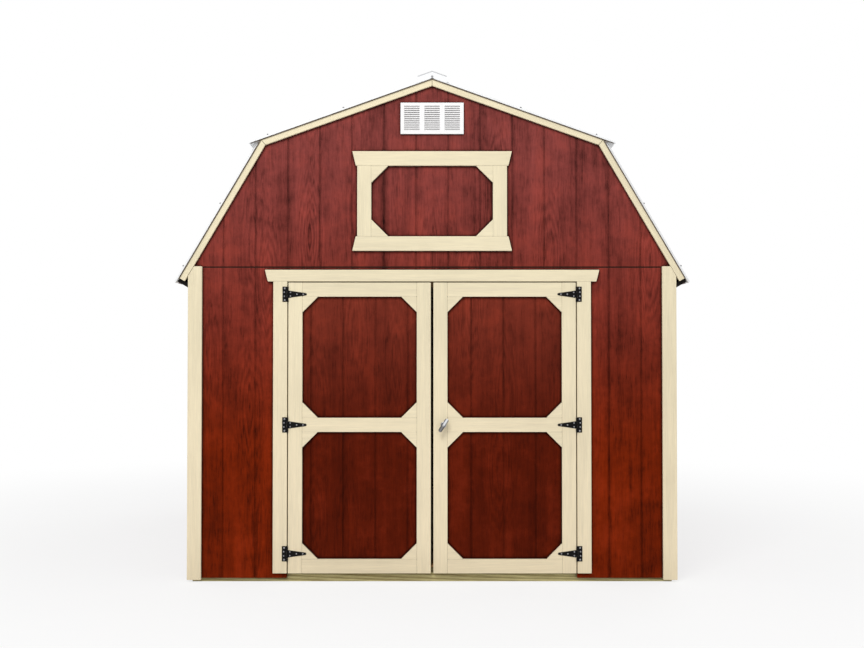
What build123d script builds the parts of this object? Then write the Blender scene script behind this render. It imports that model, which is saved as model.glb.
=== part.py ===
"""Lofted barn: a gambrel-roofed portable shed on skids, with double barn doors in its front gable end.

Millimetres. The front faces -Y, +X is to the right seen from the front, +Z is up.
The origin is on the ground, under the middle of the floor.
"""

import os
from math import cos, radians, sin, tan

from build123d import *

os.makedirs("parts", exist_ok=True)

# Building size, from siding face to siding face
WIDTH = 3048.0
LENGTH = 3658.0
SIDING = 11.0
HALF_WIDTH = WIDTH / 2
HALF_LENGTH = LENGTH / 2
FRAME_X = HALF_WIDTH - SIDING
FRAME_Y = HALF_LENGTH - SIDING

# Lumber
STUD_T = 38.0
STUD_W = 89.0
SKID = 89.0
JOIST_COUNT = 8
FIRST_JOIST = 420.0
SIDE_STUD_COUNT = 10
FRONT_STUD_COUNT = 3
BACK_STUD_COUNT = 4
BACK_STUD_X = 201.0
GABLE_STUD_X = (305.0, 813.0)
RIDGE_BOARD_TALL = 140.0
TRIM = 19.0
TRIM_W = 89.0
PLY = 16.0
HAIRLINE = 1.0

# Heights above the ground
SIDING_BOTTOM = 25.0
TRIM_BOTTOM = 14.5
DECK_TOP = SKID + PLY
WALL_TOP = 1989.0
SEAM_GAP = 8.0

# Grooved siding panels
GROOVE_PITCH = 203.2
GROOVE_W = 9.0
GROOVE_DEPTH = 3.0
GROOVES_EACH_WAY = 10
DOOR_GROOVES = 4

# Gambrel roof, measured on top of the roof deck
RIDGE_Z = 3180.0
BREAK_X = 1085.0
EAVE_X = 1600.0
UPPER_PITCH = radians(19.6)
LOWER_PITCH = radians(59.6)
ROOF_DECK = 11.0
RAFTER_DEPTH = 89.0
RAKE_W = 42.0
FRAME_COUNT = 7

# Ribbed metal roofing
SHEET = 2.0
RIB_HEIGHT = 19.0
RIB_BASE = 60.0
RIB_TOP = 22.0
RIB_COUNT = 17
RIB_PITCH = 225.0
SHEET_END = 1860.0
UPPER_LAP = 80.0
LOWER_START = 35.0
EAVE_BOARD = 25.0
EAVE_DRIP = 12.0

# Double doors
OPENING_X = 914.5
JAMB_X = 895.0
LEAF_IN = 8.0
LEAF_OUT = 908.0
LEAF_BOTTOM = 56.0
LEAF_TOP = 1886.0
MID_RAIL_Z = 988.0
DOOR_GUSSET = 98.0
DOOR_GAP = 6.0
BEAM_BOTTOM = 1862.0

# Strap hinges: pin axis in front of the trim, knuckles on the pin
PIN_X = 911.5
PIN_OUT = 6.0
PIN_R = 3.0
KNUCKLE_R = 5.0
PIN_CLEARANCE = 0.3
HINGE_PLATE = 2.5
HINGE_TALL = 95.0
LEAF_PLATE_W = 33.0
STRAP_LONG = 120.0
STRAP_ROOT = 44.0
STRAP_TIP = 14.0
HINGE_Z = (179.0, 988.0, 1812.0)

# Turning T-handle on the right leaf
HANDLE_X = 71.5
HANDLE_LEAN = 33.0
ROSE_R = 18.0
ROSE_T = 4.0
SHANK_R = 7.0
BAR_LONG = 96.0
BAR_W = 24.0
BAR_T = 14.0
BAR_OUT = 33.0

# Trim on the front
CORNER_IN = HALF_WIDTH + TRIM - TRIM_W
HEADER_BOTTOM = 1893.0
HEADER_TOP = 1967.0
HEADER_LOW = 1038.0
HEADER_HIGH = 1057.0
LOFT_SILL = (2087.0, 2179.0)
LOFT_HEAD = (2627.0, 2719.0)
LOFT_POST = (385.0, 474.0)
LOFT_RAIL_INNER = 483.0
LOFT_RAIL_OUTER = 505.0
LOFT_GUSSET = 107.0

# Gable vent
VENT_W = 400.0
VENT_H = 199.0
VENT_Z = 2929.0
VENT_FLANGE = 12.0
LOUVRE_W = 97.0
LOUVRE_H = 160.0
LOUVRE_STEP = 128.0
LOUVRE_COUNT = 12
LOUVRE_BAYS = 3
VENT_HOLE = (360.0, 172.0)

# Loft at the back end
LOFT_FRONT = 543.0
LOFT_HALF = 1375.0
LOFT_JOIST_COUNT = 3

# Planes that the faces of the building lie in
FRONT = Plane.XZ.offset(HALF_LENGTH)
FRONT_TRIM_FACE = HALF_LENGTH + TRIM
STUD_BOTTOM = DECK_TOP + STUD_T
STUD_TOP = WALL_TOP - STUD_T
INNER_X = FRAME_X - STUD_W
INNER_Y = FRAME_Y - STUD_W

# Directions of the right-hand roof slopes in the gable plane, as (x, z)
UPPER_DOWN = (cos(UPPER_PITCH), -sin(UPPER_PITCH))
UPPER_OUT = (sin(UPPER_PITCH), cos(UPPER_PITCH))
LOWER_DOWN = (cos(LOWER_PITCH), -sin(LOWER_PITCH))
LOWER_OUT = (sin(LOWER_PITCH), cos(LOWER_PITCH))
BREAK_Z = RIDGE_Z - BREAK_X * tan(UPPER_PITCH)
EAVE_Z = BREAK_Z - (EAVE_X - BREAK_X) * tan(LOWER_PITCH)


def shift(point, direction, distance):
    """A point of the gable plane moved along a direction."""
    return (point[0] + direction[0] * distance, point[1] + direction[1] * distance)


def ridge_at(depth):
    """The ridge corner of a line that lies this far below the roof deck's top."""
    return (0.0, RIDGE_Z - depth / cos(UPPER_PITCH))


def break_at(depth):
    """The corner between the two slopes, this far below the roof deck's top."""
    spread = 1 + UPPER_OUT[0] * LOWER_OUT[0] + UPPER_OUT[1] * LOWER_OUT[1]
    bisector = ((UPPER_OUT[0] + LOWER_OUT[0]) / spread, (UPPER_OUT[1] + LOWER_OUT[1]) / spread)
    return shift((BREAK_X, BREAK_Z), bisector, -depth)


def eave_at(depth):
    """The square-cut eave end, this far below the roof deck's top."""
    return shift((EAVE_X, EAVE_Z), LOWER_OUT, -depth)


def upper_height(x, depth):
    """Height of the upper slope's line at x, this far below the roof deck's top."""
    return RIDGE_Z - depth / cos(UPPER_PITCH) - x * tan(UPPER_PITCH)


def lower_reach(z, depth):
    """The x of the lower slope's line at height z, this far below the roof deck's top."""
    return EAVE_X - depth / sin(LOWER_PITCH) - (z - EAVE_Z) / tan(LOWER_PITCH)


def lower_height(x, depth):
    """Height of the lower slope's line at x, this far below the roof deck's top."""
    return EAVE_Z - depth / cos(LOWER_PITCH) - (x - EAVE_X) * tan(LOWER_PITCH)


def upper_strip(top, bottom, gap):
    """Outline of a board along the upper slope, mitred at the ridge and at the break."""
    return [
        shift(ridge_at(top), UPPER_DOWN, gap),
        shift(break_at(top), UPPER_DOWN, -gap),
        shift(break_at(bottom), UPPER_DOWN, -gap),
        shift(ridge_at(bottom), UPPER_DOWN, gap),
    ]


def lower_strip(top, bottom, gap):
    """Outline of a board along the lower slope, mitred at the break and square at the eave."""
    return [
        shift(break_at(top), LOWER_DOWN, gap),
        eave_at(top),
        eave_at(bottom),
        shift(break_at(bottom), LOWER_DOWN, gap),
    ]


def gable_prism(points, y_front, thickness):
    """A piece with an outline in the gable plane, running back from y_front."""
    with BuildSketch(Plane.XZ.offset(-y_front)) as outline:
        with BuildLine():
            Polyline(*points, close=True)
        make_face()
    extrude(outline.sketch, amount=-thickness)


def board(x, y, z):
    """A square-cut board that fills the given spans along X, Y and Z."""
    middle = ((x[0] + x[1]) / 2, (y[0] + y[1]) / 2, (z[0] + z[1]) / 2)
    with Locations(middle):
        Box(x[1] - x[0], y[1] - y[0], z[1] - z[0])


def centred(middle, width):
    """The span of this width about a middle."""
    return (middle - width / 2, middle + width / 2)


def spaced(first, last, count):
    """Evenly spaced positions from first to last."""
    step = (last - first) / (count - 1)
    return [first + index * step for index in range(count)]


def grooves_within(low, high):
    """Places of the siding grooves between two limits, mirrored about the middle."""
    places = [(index + 0.5) * GROOVE_PITCH for index in range(-GROOVES_EACH_WAY, GROOVES_EACH_WAY)]
    return [place for place in places if low + GROOVE_W < place < high - GROOVE_W]


def cut_grooves(plane, places):
    """Upright grooves cut into a siding face that lies in the plane."""
    with BuildSketch(plane) as lines:
        with Locations(*[(place, RIDGE_Z / 2) for place in places]):
            Rectangle(GROOVE_W, RIDGE_Z)
    extrude(lines.sketch, amount=-GROOVE_DEPTH, mode=Mode.SUBTRACT)


def save(piece, name):
    """Label a finished piece and write it to its own file."""
    piece.part.label = name
    export_step(piece.part, f"parts/{name}.step")


# Base
BAND_FACE = FRAME_Y - DOOR_GAP

with BuildPart() as skids:
    for skid_x in (-FRAME_X + SKID / 2, 0.0, FRAME_X - SKID / 2):
        board(centred(skid_x, SKID), (-BAND_FACE + STUD_T, BAND_FACE - STUD_T), (0, SKID))
save(skids, "skids")

with BuildPart() as band_boards:
    board((-FRAME_X, FRAME_X), (-BAND_FACE, -BAND_FACE + STUD_T), (0, SKID))
    board((-FRAME_X, FRAME_X), (BAND_FACE - STUD_T, BAND_FACE), (0, SKID))
save(band_boards, "band_boards")

with BuildPart() as floor_joists:
    for joist_y in spaced(-BAND_FACE + FIRST_JOIST, BAND_FACE - FIRST_JOIST, JOIST_COUNT):
        board((SKID / 2, FRAME_X - SKID), centred(joist_y, STUD_T), (0, SKID))
    mirror(about=Plane.YZ)
save(floor_joists, "floor_joists")

with BuildPart() as floor_deck:
    board((-FRAME_X, FRAME_X), (-BAND_FACE, BAND_FACE), (SKID, DECK_TOP))
save(floor_deck, "floor_deck")

# Wall frame
KING_X = JAMB_X + STUD_T
END_REACH = INNER_X - HAIRLINE

with BuildPart() as wall_plates:
    for plate_z in ((DECK_TOP, STUD_BOTTOM), (STUD_TOP, WALL_TOP)):
        board((INNER_X, FRAME_X), (-BAND_FACE, BAND_FACE), plate_z)
        board((-FRAME_X, -INNER_X), (-BAND_FACE, BAND_FACE), plate_z)
        board((-END_REACH, END_REACH), (INNER_Y, BAND_FACE), plate_z)
    board((-END_REACH, END_REACH), (-FRAME_Y, -INNER_Y), (STUD_TOP, WALL_TOP))
    board((KING_X, END_REACH), (-BAND_FACE, -INNER_Y), (DECK_TOP, STUD_BOTTOM))
    board((-END_REACH, -KING_X), (-BAND_FACE, -INNER_Y), (DECK_TOP, STUD_BOTTOM))
save(wall_plates, "wall_plates")

with BuildPart() as wall_studs:
    stud_z = (STUD_BOTTOM, STUD_TOP)
    for stud_y in spaced(-FRAME_Y + STUD_T / 2, FRAME_Y - STUD_T / 2, SIDE_STUD_COUNT):
        board((INNER_X, FRAME_X), centred(stud_y, STUD_T), stud_z)
    for stud_x in spaced(KING_X + STUD_T / 2, END_REACH - STUD_T / 2, FRONT_STUD_COUNT):
        board(centred(stud_x, STUD_T), (-FRAME_Y, -INNER_Y), stud_z)
    for stud_x in spaced(BACK_STUD_X, END_REACH - STUD_T / 2, BACK_STUD_COUNT):
        board(centred(stud_x, STUD_T), (INNER_Y, FRAME_Y), stud_z)
    mirror(about=Plane.YZ)
save(wall_studs, "wall_studs")

with BuildPart() as door_jambs:
    board((JAMB_X, KING_X), (-BAND_FACE, -BAND_FACE + STUD_W), (DECK_TOP, BEAM_BOTTOM))
    mirror(about=Plane.YZ)
save(door_jambs, "door_jambs")

with BuildPart() as door_header_beam:
    board((-KING_X, KING_X), (-BAND_FACE, -BAND_FACE + 2 * STUD_T), (BEAM_BOTTOM, STUD_TOP))
save(door_header_beam, "door_header_beam")

with BuildPart() as gable_studs:
    for stud_x in GABLE_STUD_X:
        left, right = centred(stud_x, STUD_W)
        under = ROOF_DECK + RAFTER_DEPTH
        stud_outline = [
            (left, WALL_TOP),
            (right, WALL_TOP),
            (right, upper_height(right, under)),
            (left, upper_height(left, under)),
        ]
        gable_prism(stud_outline, -FRAME_Y, STUD_T)
    mirror(about=Plane.YZ)
    mirror(about=Plane.XZ)
save(gable_studs, "gable_studs")

# Roof frame
FRAME_PLACES = spaced(-FRAME_Y + STUD_T / 2, FRAME_Y - STUD_T / 2, FRAME_COUNT)
RAFTER_UNDER = ROOF_DECK + RAFTER_DEPTH
RIDGE_BOARD_TOP = upper_height(STUD_T / 2, ROOF_DECK)

with BuildPart() as ridge_board:
    ridge_board_z = (RIDGE_BOARD_TOP - RIDGE_BOARD_TALL, RIDGE_BOARD_TOP)
    board((-STUD_T / 2, STUD_T / 2), (-FRAME_Y, FRAME_Y), ridge_board_z)
save(ridge_board, "ridge_board")

with BuildPart() as upper_rafters:
    upper_rafter = [
        (STUD_T / 2, RIDGE_BOARD_TOP),
        break_at(ROOF_DECK),
        break_at(RAFTER_UNDER),
        (STUD_T / 2, upper_height(STUD_T / 2, RAFTER_UNDER)),
    ]
    for frame_y in FRAME_PLACES:
        gable_prism(upper_rafter, frame_y - STUD_T / 2, STUD_T)
    mirror(about=Plane.YZ)
save(upper_rafters, "upper_rafters")

with BuildPart() as lower_rafters:
    lower_rafter = [
        break_at(ROOF_DECK),
        (lower_reach(WALL_TOP, ROOF_DECK), WALL_TOP),
        (lower_reach(WALL_TOP, RAFTER_UNDER), WALL_TOP),
        break_at(RAFTER_UNDER),
    ]
    for frame_y in FRAME_PLACES:
        gable_prism(lower_rafter, frame_y - STUD_T / 2, STUD_T)
    mirror(about=Plane.YZ)
save(lower_rafters, "lower_rafters")

GUSSET_ARM = 180.0
GUSSET_INSET = 6.0

with BuildPart() as rafter_gussets:
    outer = ROOF_DECK + GUSSET_INSET
    inner = RAFTER_UNDER - GUSSET_INSET
    gusset = [
        break_at(outer),
        shift(break_at(outer), LOWER_DOWN, GUSSET_ARM),
        shift(break_at(inner), LOWER_DOWN, GUSSET_ARM),
        shift(break_at(inner), UPPER_DOWN, -GUSSET_ARM),
        shift(break_at(outer), UPPER_DOWN, -GUSSET_ARM),
    ]
    for frame_y in FRAME_PLACES:
        toward_middle = frame_y + STUD_T / 2 if frame_y < STUD_T else frame_y - STUD_T / 2 - PLY
        gable_prism(gusset, toward_middle, PLY)
    mirror(about=Plane.YZ)
save(rafter_gussets, "rafter_gussets")

# Loft
LOFT_JOIST_TOP = WALL_TOP + STUD_W

with BuildPart() as loft_joists:
    reach = lower_reach(LOFT_JOIST_TOP, ROOF_DECK) - GUSSET_INSET
    for frame_y in FRAME_PLACES[-LOFT_JOIST_COUNT:]:
        board((-reach, reach), centred(frame_y - STUD_T, STUD_T), (WALL_TOP, LOFT_JOIST_TOP))
save(loft_joists, "loft_joists")

with BuildPart() as loft_deck:
    loft_z = (LOFT_JOIST_TOP, LOFT_JOIST_TOP + PLY)
    board((-LOFT_HALF, LOFT_HALF), (LOFT_FRONT, FRAME_Y - STUD_T), loft_z)
save(loft_deck, "loft_deck")

# Siding
PANEL_Z = (SIDING_BOTTOM, WALL_TOP - SEAM_GAP)

with BuildPart() as front_siding_beside_door:
    board((OPENING_X, HALF_WIDTH), (-HALF_LENGTH, -FRAME_Y), PANEL_Z)
    cut_grooves(FRONT, grooves_within(OPENING_X, HALF_WIDTH))
    mirror(about=Plane.YZ)
save(front_siding_beside_door, "front_siding_beside_door")

with BuildPart() as front_siding_over_door:
    over_x = OPENING_X - HAIRLINE
    board((-over_x, over_x), (-HALF_LENGTH, -FRAME_Y), (HEADER_BOTTOM, PANEL_Z[1]))
    cut_grooves(FRONT, grooves_within(-over_x, over_x))
save(front_siding_over_door, "front_siding_over_door")

with BuildPart() as back_wall_siding:
    board((-HALF_WIDTH, HALF_WIDTH), (-HALF_LENGTH, -FRAME_Y), PANEL_Z)
    cut_grooves(FRONT, grooves_within(-HALF_WIDTH, HALF_WIDTH))
    mirror(about=Plane.XZ, mode=Mode.REPLACE)
save(back_wall_siding, "back_wall_siding")

with BuildPart() as side_wall_sidings:
    board((FRAME_X, HALF_WIDTH), (-FRAME_Y, FRAME_Y), (SIDING_BOTTOM, WALL_TOP))
    cut_grooves(Plane.YZ.offset(HALF_WIDTH), grooves_within(-FRAME_Y, FRAME_Y))
    mirror(about=Plane.YZ)
save(side_wall_sidings, "side_wall_sidings")

with BuildPart() as front_gable_siding:
    right_side = [
        (HALF_WIDTH, WALL_TOP),
        (HALF_WIDTH, lower_height(HALF_WIDTH, ROOF_DECK)),
        break_at(ROOF_DECK),
    ]
    left_side = [(-x, z) for x, z in reversed(right_side)]
    gable_prism([*right_side, ridge_at(ROOF_DECK), *left_side], -HALF_LENGTH, SIDING)
    cut_grooves(FRONT, grooves_within(-HALF_WIDTH, HALF_WIDTH))
    with Locations((0, -HALF_LENGTH + SIDING / 2, VENT_Z)):
        Box(VENT_HOLE[0], 2 * SIDING, VENT_HOLE[1], mode=Mode.SUBTRACT)
save(front_gable_siding, "front_gable_siding")

with BuildPart() as back_gable_siding:
    mirror(front_gable_siding.part, about=Plane.XZ)
save(back_gable_siding, "back_gable_siding")

# Dark flashing set back in the seam between wall and gable siding
FLASHING_INSET = 6.0

with BuildPart() as seam_flashings:
    flashing_y = (-HALF_LENGTH + FLASHING_INSET, -FRAME_Y)
    board((-HALF_WIDTH, HALF_WIDTH), flashing_y, (WALL_TOP - SEAM_GAP, WALL_TOP))
    mirror(about=Plane.XZ)
save(seam_flashings, "seam_flashings")

# Roof covering
with BuildPart() as roof_decks:
    gable_prism(upper_strip(0, ROOF_DECK, HAIRLINE), -HALF_LENGTH, LENGTH)
    gable_prism(lower_strip(0, ROOF_DECK, HAIRLINE), -HALF_LENGTH, LENGTH)
    mirror(about=Plane.YZ)
save(roof_decks, "roof_decks")


def ribbed_sheet(start, down, length):
    """A ribbed metal sheet on the roof deck, from a point of the gable plane down its slope."""
    half = RIB_PITCH * (RIB_COUNT - 1) / 2
    upper_line = [(-SHEET_END, SHEET)]
    for rib_y in spaced(-half, half, RIB_COUNT):
        upper_line += [
            (rib_y - RIB_BASE / 2, SHEET),
            (rib_y - RIB_TOP / 2, SHEET + RIB_HEIGHT),
            (rib_y + RIB_TOP / 2, SHEET + RIB_HEIGHT),
            (rib_y + RIB_BASE / 2, SHEET),
        ]
    upper_line.append((SHEET_END, SHEET))
    under_line = [(y, height - SHEET) for y, height in reversed(upper_line)]
    across = Plane(origin=(start[0], 0, start[1]), x_dir=(0, 1, 0), z_dir=(down[0], 0, down[1]))
    with BuildSketch(across) as section:
        with BuildLine():
            Polyline(*upper_line, *under_line, close=True)
        make_face()
    extrude(section.sketch, amount=length)


UPPER_RUN = BREAK_X / cos(UPPER_PITCH)
LOWER_RUN = (EAVE_X - BREAK_X) / cos(LOWER_PITCH)
RIDGE_START = 12.0

with BuildPart() as roof_panels:
    upper_start = shift(ridge_at(0), UPPER_DOWN, RIDGE_START)
    ribbed_sheet(upper_start, UPPER_DOWN, UPPER_RUN - RIDGE_START + UPPER_LAP)
    lower_start = shift((BREAK_X, BREAK_Z), LOWER_DOWN, LOWER_START)
    ribbed_sheet(lower_start, LOWER_DOWN, LOWER_RUN - LOWER_START + EAVE_BOARD + EAVE_DRIP)
    mirror(about=Plane.YZ)
save(roof_panels, "roof_panels")

CAP_HALF = 92.0
CAP_RISE = 45.0
CAP_END = SHEET_END - SHEET


def cap_outline(half, top, foot):
    """Outline of the ridge cap across the ridge: a peaked top with upright skirts, open to the roof below."""
    return [
        (-half, upper_height(half, -foot)),
        (-half, upper_height(half, -top)),
        (0.0, upper_height(0.0, -top)),
        (half, upper_height(half, -top)),
        (half, upper_height(half, -foot)),
        (0.0, upper_height(0.0, -foot)),
    ]


with BuildPart() as ridge_cap:
    rib_crown = SHEET + RIB_HEIGHT
    gable_prism(cap_outline(CAP_HALF, CAP_RISE, rib_crown), -CAP_END, 2 * CAP_END)
    end_foot = SHEET + HAIRLINE
    gable_prism(cap_outline(CAP_HALF, CAP_RISE, end_foot), -CAP_END, SHEET)
    gable_prism(cap_outline(CAP_HALF, CAP_RISE, end_foot), CAP_END - SHEET, SHEET)
    hollow = cap_outline(CAP_HALF - SHEET, CAP_RISE - SHEET, 0.0)
    with BuildSketch(Plane.XZ.offset(CAP_END - SHEET)) as hollow_section:
        with BuildLine():
            Polyline(*hollow, close=True)
        make_face()
    extrude(amount=-2 * (CAP_END - SHEET), mode=Mode.SUBTRACT)
save(ridge_cap, "ridge_cap")

with BuildPart() as eave_fascias:
    deck_end = eave_at(0)
    board_end = shift(deck_end, LOWER_DOWN, EAVE_BOARD)
    square_fall = LOWER_OUT[1] / LOWER_OUT[0]
    eave_outline = [
        deck_end,
        board_end,
        (HALF_WIDTH, board_end[1] - (board_end[0] - HALF_WIDTH) * square_fall),
        (HALF_WIDTH, deck_end[1] - (deck_end[0] - HALF_WIDTH) * square_fall),
    ]
    gable_prism(eave_outline, -HALF_LENGTH, LENGTH)
    mirror(about=Plane.YZ)
save(eave_fascias, "eave_fascias")
EAVE_UNDERSIDE = eave_outline[2][1]

# Trim
with BuildPart() as front_rake_trims:
    gable_prism(upper_strip(0, RAKE_W, HAIRLINE), -FRONT_TRIM_FACE, TRIM)
    gable_prism(lower_strip(0, RAKE_W, HAIRLINE), -FRONT_TRIM_FACE, TRIM)
    mirror(about=Plane.YZ)
save(front_rake_trims, "front_rake_trims")

with BuildPart() as back_rake_trims:
    mirror(front_rake_trims.part, about=Plane.XZ)
save(back_rake_trims, "back_rake_trims")

# Black drip edges on the faces of the rake boards, under the ends of the roof sheets
DRIP_TALL = 5.0
DRIP_T = 6.0
DRIP_PAST_BREAK = 70.0
DRIP_LOWER_START = 10.0

with BuildPart() as rake_drip_edges:
    break_corner = (BREAK_X, BREAK_Z)
    upper_end = shift(break_corner, UPPER_DOWN, DRIP_PAST_BREAK)
    upper_drip = [
        shift(ridge_at(0), UPPER_DOWN, HAIRLINE),
        upper_end,
        shift(upper_end, UPPER_OUT, -DRIP_TALL),
        shift(ridge_at(DRIP_TALL), UPPER_DOWN, HAIRLINE),
    ]
    lower_top = shift(break_corner, LOWER_DOWN, DRIP_LOWER_START)
    lower_drip = [
        lower_top,
        eave_at(0),
        eave_at(DRIP_TALL),
        shift(lower_top, LOWER_OUT, -DRIP_TALL),
    ]
    gable_prism(upper_drip, -FRONT_TRIM_FACE - DRIP_T, DRIP_T)
    gable_prism(lower_drip, -FRONT_TRIM_FACE - DRIP_T, DRIP_T)
    mirror(about=Plane.YZ)
    mirror(about=Plane.XZ)
save(rake_drip_edges, "rake_drip_edges")

with BuildPart() as end_corner_trims:
    scribe = RAKE_W + HAIRLINE
    corner_out = HALF_WIDTH + TRIM
    corner_outline = [
        (CORNER_IN, TRIM_BOTTOM),
        (corner_out, TRIM_BOTTOM),
        (corner_out, lower_height(corner_out, scribe)),
        (lower_reach(WALL_TOP, scribe), WALL_TOP),
        (CORNER_IN, WALL_TOP),
    ]
    gable_prism(corner_outline, -FRONT_TRIM_FACE, TRIM)
    mirror(about=Plane.YZ)
    mirror(about=Plane.XZ)
save(end_corner_trims, "end_corner_trims")

with BuildPart() as side_corner_trims:
    side_y = (-HALF_LENGTH, -HALF_LENGTH + TRIM_W - TRIM)
    board((HALF_WIDTH, HALF_WIDTH + TRIM), side_y, (TRIM_BOTTOM, EAVE_UNDERSIDE))
    mirror(about=Plane.YZ)
    mirror(about=Plane.XZ)
save(side_corner_trims, "side_corner_trims")

FRONT_TRIM_Y = (-FRONT_TRIM_FACE, -HALF_LENGTH)

with BuildPart() as door_casings:
    board((OPENING_X, OPENING_X + TRIM_W), FRONT_TRIM_Y, (LEAF_BOTTOM, HEADER_BOTTOM))
    mirror(about=Plane.YZ)
save(door_casings, "door_casings")

with BuildPart() as door_header_trim:
    header_outline = [
        (-HEADER_LOW, HEADER_BOTTOM),
        (HEADER_LOW, HEADER_BOTTOM),
        (HEADER_HIGH, HEADER_TOP),
        (-HEADER_HIGH, HEADER_TOP),
    ]
    gable_prism(header_outline, -FRONT_TRIM_FACE, TRIM)
save(door_header_trim, "door_header_trim")

with BuildPart() as loft_trim_rails:
    for inner_z, outer_z in (LOFT_SILL[::-1], LOFT_HEAD):
        rail_outline = [
            (-LOFT_RAIL_INNER, inner_z),
            (LOFT_RAIL_INNER, inner_z),
            (LOFT_RAIL_OUTER, outer_z),
            (-LOFT_RAIL_OUTER, outer_z),
        ]
        gable_prism(rail_outline, -FRONT_TRIM_FACE, TRIM)
save(loft_trim_rails, "loft_trim_rails")

with BuildPart() as loft_trim_posts:
    board(LOFT_POST, FRONT_TRIM_Y, (LOFT_SILL[1], LOFT_HEAD[0]))
    mirror(about=Plane.YZ)
save(loft_trim_posts, "loft_trim_posts")


def corner_gussets(x, z, leg):
    """Four triangular gussets in the corners of a framed panel on the front."""
    for corner_x, toward_x in ((x[0], leg), (x[1], -leg)):
        for corner_z, toward_z in ((z[0], leg), (z[1], -leg)):
            triangle = [
                (corner_x, corner_z),
                (corner_x + toward_x, corner_z),
                (corner_x, corner_z + toward_z),
            ]
            gable_prism(triangle, -FRONT_TRIM_FACE, TRIM)


with BuildPart() as loft_trim_gussets:
    corner_gussets((-LOFT_POST[0], LOFT_POST[0]), (LOFT_SILL[1], LOFT_HEAD[0]), LOFT_GUSSET)
save(loft_trim_gussets, "loft_trim_gussets")

# Gable vents, with louvre blades that slope down to the outside
BLADE_T = 2.2
BLADE_DEPTH = 15.0
BLADE_TILT = 56.0
BLADE_REACH = 73.0
BLADE_ROOT = 1.0

with BuildPart() as gable_vents:
    with BuildSketch(FRONT) as flange:
        with Locations((0, VENT_Z)):
            Rectangle(VENT_W, VENT_H)
            with GridLocations(LOUVRE_STEP, 0, LOUVRE_BAYS, 1):
                Rectangle(LOUVRE_W, LOUVRE_H, mode=Mode.SUBTRACT)
    extrude(amount=VENT_FLANGE)
    blade_y = -HALF_LENGTH - VENT_FLANGE / 2
    for blade_z in spaced(VENT_Z - BLADE_REACH, VENT_Z + BLADE_REACH, LOUVRE_COUNT):
        with Locations(Location((0, blade_y, blade_z), (BLADE_TILT, 0, 0))):
            with GridLocations(LOUVRE_STEP, 0, LOUVRE_BAYS, 1):
                Box(LOUVRE_W + 2 * BLADE_ROOT, BLADE_DEPTH, BLADE_T)
    mirror(about=Plane.XZ)
save(gable_vents, "gable_vents")

# Doors
PANEL_Y = (-HALF_LENGTH, -FRAME_Y)
BACK_RAIL_X = (38.0, 858.0)
BACK_RAIL_Z = (170.0, MID_RAIL_Z, 1795.0)
RAIL_Z = (
    (LEAF_BOTTOM, LEAF_BOTTOM + TRIM_W),
    centred(MID_RAIL_Z, TRIM_W),
    (LEAF_TOP - TRIM_W, LEAF_TOP),
)
STILE_IN = LEAF_IN + TRIM_W
STILE_OUT = LEAF_OUT - TRIM_W
FIRST_GROOVE = {"left": 155.0, "right": 247.0}
HINGE_Y = -(FRONT_TRIM_FACE + PIN_OUT)


def strap_hinge(height):
    """The door half of a strap hinge: a tapered strap on a bored middle knuckle."""
    with BuildSketch(Plane.XZ.offset(FRONT_TRIM_FACE)) as strap:
        with Locations((PIN_X - KNUCKLE_R, height)):
            Rectangle(2 * KNUCKLE_R, STRAP_ROOT)
        with Locations((PIN_X - STRAP_LONG + STRAP_TIP / 2, height)):
            Circle(STRAP_TIP / 2)
        make_hull()
    extrude(strap.sketch, amount=HINGE_PLATE)
    with Locations((PIN_X, HINGE_Y, height)):
        Cylinder(KNUCKLE_R, STRAP_ROOT)
        Cylinder(PIN_R + PIN_CLEARANCE, STRAP_ROOT, mode=Mode.SUBTRACT)


for side in ("left", "right"):
    with BuildPart() as door_panel:
        board((LEAF_IN, LEAF_OUT), PANEL_Y, (LEAF_BOTTOM, LEAF_TOP))
        first = FIRST_GROOVE[side]
        cut_grooves(FRONT, [first + index * GROOVE_PITCH for index in range(DOOR_GROOVES)])
        if side == "left":
            mirror(about=Plane.YZ, mode=Mode.REPLACE)
    save(door_panel, f"{side}_door_panel")

    with BuildPart() as door_stiles:
        board((LEAF_IN, STILE_IN), FRONT_TRIM_Y, (LEAF_BOTTOM, LEAF_TOP))
        board((STILE_OUT, LEAF_OUT), FRONT_TRIM_Y, (LEAF_BOTTOM, LEAF_TOP))
        if side == "left":
            mirror(about=Plane.YZ, mode=Mode.REPLACE)
    save(door_stiles, f"{side}_door_stiles")

    with BuildPart() as door_rails:
        for rail_z in RAIL_Z:
            board((STILE_IN, STILE_OUT), FRONT_TRIM_Y, rail_z)
        if side == "left":
            mirror(about=Plane.YZ, mode=Mode.REPLACE)
    save(door_rails, f"{side}_door_rails")

    with BuildPart() as door_gussets:
        corner_gussets((STILE_IN, STILE_OUT), (RAIL_Z[0][1], RAIL_Z[1][0]), DOOR_GUSSET)
        corner_gussets((STILE_IN, STILE_OUT), (RAIL_Z[1][1], RAIL_Z[2][0]), DOOR_GUSSET)
        if side == "left":
            mirror(about=Plane.YZ, mode=Mode.REPLACE)
    save(door_gussets, f"{side}_door_gussets")

    with BuildPart() as door_back_rails:
        for rail_z in BACK_RAIL_Z:
            board(BACK_RAIL_X, (-FRAME_Y, -FRAME_Y + STUD_T), centred(rail_z, STUD_W))
        if side == "left":
            mirror(about=Plane.YZ, mode=Mode.REPLACE)
    save(door_back_rails, f"{side}_door_back_rails")

    with BuildPart() as hinge_straps:
        for hinge_z in HINGE_Z:
            strap_hinge(hinge_z)
        if side == "left":
            mirror(about=Plane.YZ, mode=Mode.REPLACE)
    save(hinge_straps, f"{side}_hinge_straps")

# Hinge leaves on the casings: an upright plate, an upper and a lower knuckle, and the pin
KNUCKLE_GAP = 0.5
PLATE_CLEAR = 1.5

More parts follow.
